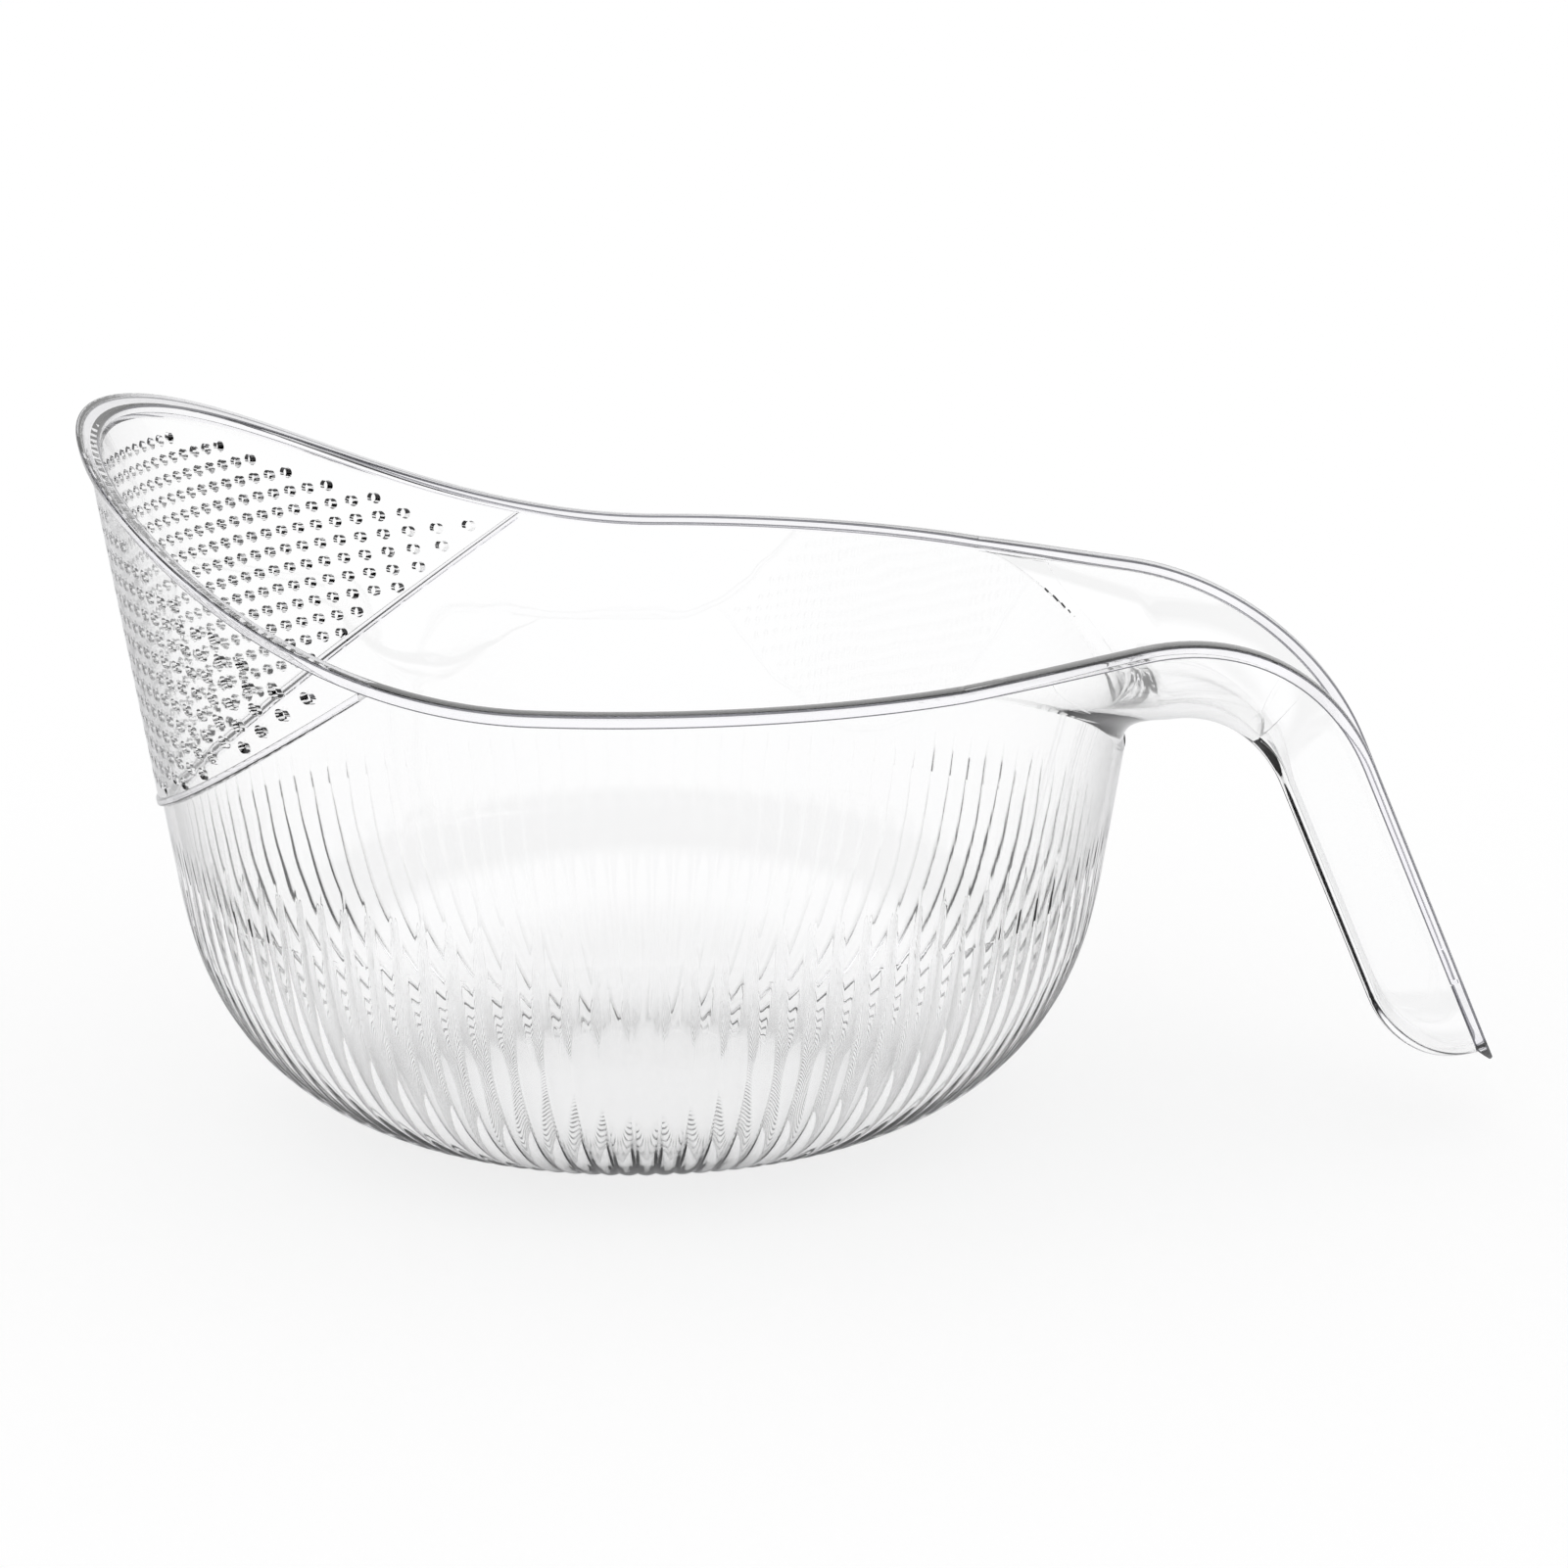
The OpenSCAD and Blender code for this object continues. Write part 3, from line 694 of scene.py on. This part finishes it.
def make_wall():
    extra = np.radians(np.linspace(-OPENING_DEGREES, OPENING_DEGREES, OPENING_COLUMNS))
    theta = np.unique(np.round(np.concatenate([THETA, extra % (2 * math.pi)]), 9))
    theta[-1] = 2 * math.pi
    under_rim = rim_height(theta) - BEAD_H
    step = np.where(np.cos(theta) < 0, step_height(theta), NO_EDGE)
    sill = SIDE_H - ROOT_DEPTH + WALL + SILL_H
    root_outer, root_inner = root_outline(theta, False), root_outline(theta, True)
    above = np.clip(0.5 + 0.5 * (root_inner - sill) / SILL_EASE, 0, 1)
    notch = mix(sill, root_inner, above) + SILL_EASE * above * (1 - above)
    top = np.minimum(np.minimum(under_rim, step), notch)
    first, second = np.minimum(top, root_outer), np.minimum(top, root_inner)
    low_rows = np.linspace(BELLY_H, FLUTE_TOP, 14)
    shares = np.linspace(0, 1, 12)[1:, None]
    fine = np.sin(np.linspace(0, math.pi / 2, 16))[1:, None]
    z = np.concatenate([np.broadcast_to(low_rows[:, None], (len(low_rows), len(theta))),
                        FLUTE_TOP + (first - FLUTE_TOP)[None, :] * shares,
                        first + (second - first)[None, :] * fine,
                        second + (top - second)[None, :] * fine[4::5]])
    cut = flute_cut(theta[None, :], z, wall_r(z))
    outer = around(wall_r(z) - cut, theta[None, :], z)
    inner = around(wall_inside(theta, z, notch, sill), theta[None, :], z)
    bare = len(low_rows) + len(shares) - 1
    covered = bare + len(fine)
    in_notch = notch < np.minimum(under_rim, step)
    patches = [
        (outer[:bare + 1], False),
        (outer[bare:covered + 1], True),
        (outer[covered:], False),
        (inner, False),
        (np.stack([outer[0], inner[0]]), True),
    ]
    edge = np.stack([outer[-1], inner[-1]])
    changes = [0, *(np.nonzero(np.diff(in_notch))[0] + 1), len(theta) - 1]
    for a, b in zip(changes[:-1], changes[1:]):
        patches.append((edge[:, a:b + 1], not in_notch[a]))
    make_piece("upper_wall_visual", "upper_wall", CLEAR, patches)


def strainer_reach():
    """Angle from the spout's middle at which the stepped edge meets the rim."""
    theta = math.pi - CORNER_ANGLES
    gap = (rim_height(theta) - BEAD_H) - (step_height(theta) + EDGE_H)
    return float(CORNER_ANGLES[np.argmax(gap < LEAST_PANEL)])


def hole_cutter():
    """Round rods through the wall, one for each drain hole."""
    vertices, faces = [], []
    columns = int(FIELD_HALF // HOLE_PITCH)
    rows = int((SPOUT_H - HOLE_FIRST_Z) // HOLE_PITCH)
    turns = [2 * math.pi * k / HOLE_SIDES for k in range(HOLE_SIDES)]
    for j in range(rows + 1):
        z = HOLE_FIRST_Z + j * HOLE_PITCH
        for i in range(-columns, columns + 1):
            y = i * HOLE_PITCH
            x = -math.sqrt(wall_r(z) ** 2 - y * y)
            fits = (z + HOLE_D / 2 < float(rim_z(np.array(x))) - BEAD_H - RIM_MARGIN
                    and z - HOLE_D / 2 > step_z(x) + EDGE_H + EDGE_MARGIN)
            if not fits:
                continue
            base = len(vertices)
            turned = HOLE_TURN_SHARE * math.atan2(y, -x)
            along = Vector((-math.cos(turned), math.sin(turned), 0.0))
            across = Vector((math.sin(turned), math.cos(turned), 0.0))
            for end in (-ROD_REACH, ROD_REACH):
                for turn in turns:
                    rod = Vector((x, y, z)) + along * end + across * (HOLE_D / 2 * math.cos(turn))
                    rod.z += HOLE_D / 2 * math.sin(turn)
                    vertices.append(rod / 1000)
            n = HOLE_SIDES
            faces.append([base + k for k in range(n)][::-1])
            faces.append([base + n + k for k in range(n)])
            for k in range(n):
                faces.append([base + k, base + (k + 1) % n, base + n + (k + 1) % n, base + n + k])
    mesh = bpy.data.meshes.new("hole_rods")
    mesh.from_pydata(vertices, [], faces)
    face_outwards(mesh)
    rods = bpy.data.objects.new("hole_rods", mesh)
    bpy.context.scene.collection.objects.link(rods)
    return rods


def make_strainer():
    reach = strainer_reach()
    theta = math.pi + np.linspace(-reach, reach, 161)
    low = step_height(theta) + EDGE_H
    high = np.maximum(rim_height(theta) - BEAD_H, low + LEAST_HEIGHT)
    z = low[None, :] + (high - low)[None, :] * np.linspace(0, 1, 26)[:, None]
    outer = around(wall_r(z) + STEP_OUT, theta[None, :], z)
    inner = around(wall_r(z) - PANEL_IN, theta[None, :], z)
    piece = make_piece("strainer_panel_visual", "strainer_panel", CLEAR, shell(outer, inner))
    rods = hole_cutter()
    boolean = piece.modifiers.new("holes", "BOOLEAN")
    boolean.operation = "DIFFERENCE"
    boolean.solver = "MANIFOLD"
    boolean.object = rods
    bpy.context.view_layer.update()
    cut = bpy.data.meshes.new_from_object(piece.evaluated_get(bpy.context.evaluated_depsgraph_get()))
    piece.modifiers.clear()
    piece.data = cut
    bpy.data.objects.remove(rods)
    finish_piece(piece, "strainer_panel", SMOOTH_ANGLE)


def make_step_bead():
    reach = strainer_reach()
    theta = math.pi + np.linspace(-reach, reach, 241)
    low = step_height(theta)
    high = np.minimum(low + EDGE_H, np.maximum(rim_height(theta) - BEAD_H, low + LEAST_HEIGHT))
    out = STEP_OUT + EDGE_OUT
    section = [(-WALL_X, 1.0), (-WALL_X, 0.0), (0.0, 0.0)]
    flat, turns = out - STEP_CORNER, np.radians([0, 30, 60, 90])
    corner = [(flat + STEP_CORNER * math.sin(a), STEP_CORNER_SHARE * (1 - math.cos(a))) for a in turns]
    upper = [(flat + STEP_CORNER * math.cos(a), 1 - STEP_CORNER_SHARE * (1 - math.sin(a))) for a in turns]
    visible = [(0.0, 0.0)] + corner + upper + [(STEP_OUT, 1.0)]

    def line(offset, share):
        z = low + (high - low) * share
        return around(wall_r(z) + offset, theta, z)

    face = np.stack([line(o, h) for o, h in visible])
    inside = np.stack([line(o, h) for o, h in section[:2]])
    under = np.stack([line(o, h) for o, h in section[1:]])
    over = np.stack([line(STEP_OUT, 1.0), line(-PANEL_IN, 1.0), line(-WALL_X, 1.0)])
    patches = [(face, False), (inside, False), (under, True), (over[:2], True), (over[1:], False)]
    for k in (0, -1):
        loop = np.concatenate([face[:, k], over[1:, k], inside[1:, k], under[1:, k]])
        patches.append(fan(loop, loop.mean(0)))
    make_piece("strainer_edge_bead_visual", "strainer_edge_bead", BEAD, patches)


make_bottom()
make_base()
make_wall()
make_strainer()
make_step_bead()
make_rim()
make_root()
make_gutter()
make_end_cap()
make_rail("handle_rail_left_visual", "handle_rail_left", 1)
make_rail("handle_rail_right_visual", "handle_rail_right", -1)
make_lip()


# Studio

FLOOR_SIZE, FLOOR_DROP, FLOOR_WHITE_SHARE, FLOOR_COLOUR = 30.0, 0.0002, 0.75, (0.85, 0.85, 0.86, 1)
SKY_STOPS = [(0.0, 1.0), (0.2, 1.0), (0.26, 0.04), (0.56, 0.02), (0.66, 1.2), (0.88, 1.2), (1.0, 0.2)]
SKY_BLUE, WALL_BEHIND_FROM, WALL_BEHIND_FULL = 1.02, 0.2, 0.5
CAMERA_LENS, CAMERA_SENSOR = 80.34, 36.0
CAMERA_PLACE = (0.09666, -0.84876, 0.29635)
CAMERA_TURN = (math.radians(75.88), 0.0, math.radians(4.10))


def make_floor():
    bpy.ops.mesh.primitive_plane_add(size=FLOOR_SIZE)
    floor = bpy.context.object
    floor.name = "studio_floor"
    material = bpy.data.materials.new("studio_floor")
    material.use_nodes = True
    nodes, links = material.node_tree.nodes, material.node_tree.links
    nodes.remove(nodes["Principled BSDF"])
    diffuse = nodes.new("ShaderNodeBsdfDiffuse")
    path = nodes.new("ShaderNodeLightPath")
    seen = nodes.new("ShaderNodeMath")
    seen.operation = "MAXIMUM"
    links.new(path.outputs["Is Camera Ray"], seen.inputs[0])
    links.new(path.outputs["Is Transmission Ray"], seen.inputs[1])
    colour = nodes.new("ShaderNodeMix")
    colour.data_type = "RGBA"
    colour.inputs[6].default_value = FLOOR_COLOUR
    colour.inputs[7].default_value = (1.0, 1.0, 1.0, 1)
    links.new(seen.outputs["Value"], colour.inputs[0])
    links.new(colour.outputs[2], diffuse.inputs["Color"])
    white = nodes.new("ShaderNodeEmission")
    white.inputs["Strength"].default_value = 1.0
    share = nodes.new("ShaderNodeMath")
    share.operation = "MULTIPLY"
    share.inputs[1].default_value = FLOOR_WHITE_SHARE
    links.new(seen.outputs["Value"], share.inputs[0])
    both = nodes.new("ShaderNodeMixShader")
    links.new(share.outputs["Value"], both.inputs[0])
    links.new(diffuse.outputs["BSDF"], both.inputs[1])
    links.new(white.outputs["Emission"], both.inputs[2])
    links.new(both.outputs["Shader"], nodes["Material Output"].inputs["Surface"])
    floor.data.materials.append(material)
    floor.location.z = -FLOOR_DROP


def make_world():
    """The camera sees white, and clear plastic a white wall behind, a softbox above and a dark room."""
    world = bpy.data.worlds.new("studio")
    bpy.context.scene.world = world
    world.use_nodes = True
    nodes, links = world.node_tree.nodes, world.node_tree.links
    background = nodes["Background"]
    place = nodes.new("ShaderNodeTexCoord")
    split = nodes.new("ShaderNodeSeparateXYZ")
    links.new(place.outputs["Generated"], split.inputs["Vector"])
    ramp = nodes.new("ShaderNodeValToRGB")
    while len(ramp.color_ramp.elements) < len(SKY_STOPS):
        ramp.color_ramp.elements.new(0.5)
    for element, (position, value) in zip(ramp.color_ramp.elements, SKY_STOPS):
        element.position = position
        element.color = (value, value, value * SKY_BLUE, 1)
    links.new(split.outputs["Z"], ramp.inputs["Fac"])
    behind = nodes.new("ShaderNodeMapRange")
    behind.inputs["From Min"].default_value = WALL_BEHIND_FROM
    behind.inputs["From Max"].default_value = WALL_BEHIND_FULL
    links.new(split.outputs["Y"], behind.inputs["Value"])
    room = nodes.new("ShaderNodeMix")
    room.data_type = "RGBA"
    room.inputs[7].default_value = (1.0, 1.0, 1.0, 1)
    links.new(behind.outputs["Result"], room.inputs[0])
    links.new(ramp.outputs["Color"], room.inputs[6])
    path = nodes.new("ShaderNodeLightPath")
    plain = nodes.new("ShaderNodeMath")
    plain.operation = "MAXIMUM"
    links.new(path.outputs["Is Camera Ray"], plain.inputs[0])
    links.new(path.outputs["Is Diffuse Ray"], plain.inputs[1])
    colour = nodes.new("ShaderNodeMix")
    colour.data_type = "RGBA"
    colour.inputs[7].default_value = (1.0, 1.0, 1.0, 1)
    links.new(plain.outputs["Value"], colour.inputs[0])
    links.new(room.outputs[2], colour.inputs[6])
    links.new(colour.outputs[2], background.inputs["Color"])
    background.inputs["Strength"].default_value = 1.0


def make_camera():
    camera = bpy.data.objects.new("camera", bpy.data.cameras.new("camera"))
    bpy.context.scene.collection.objects.link(camera)
    camera.data.sensor_width = CAMERA_SENSOR
    camera.data.lens = CAMERA_LENS
    camera.data.clip_start, camera.data.clip_end = 0.05, 100.0
    camera.location = Vector(CAMERA_PLACE)
    camera.rotation_euler = Euler(CAMERA_TURN)
    bpy.context.scene.camera = camera


make_floor()
make_world()
make_camera()
bpy.context.scene.view_settings.view_transform = "Standard"
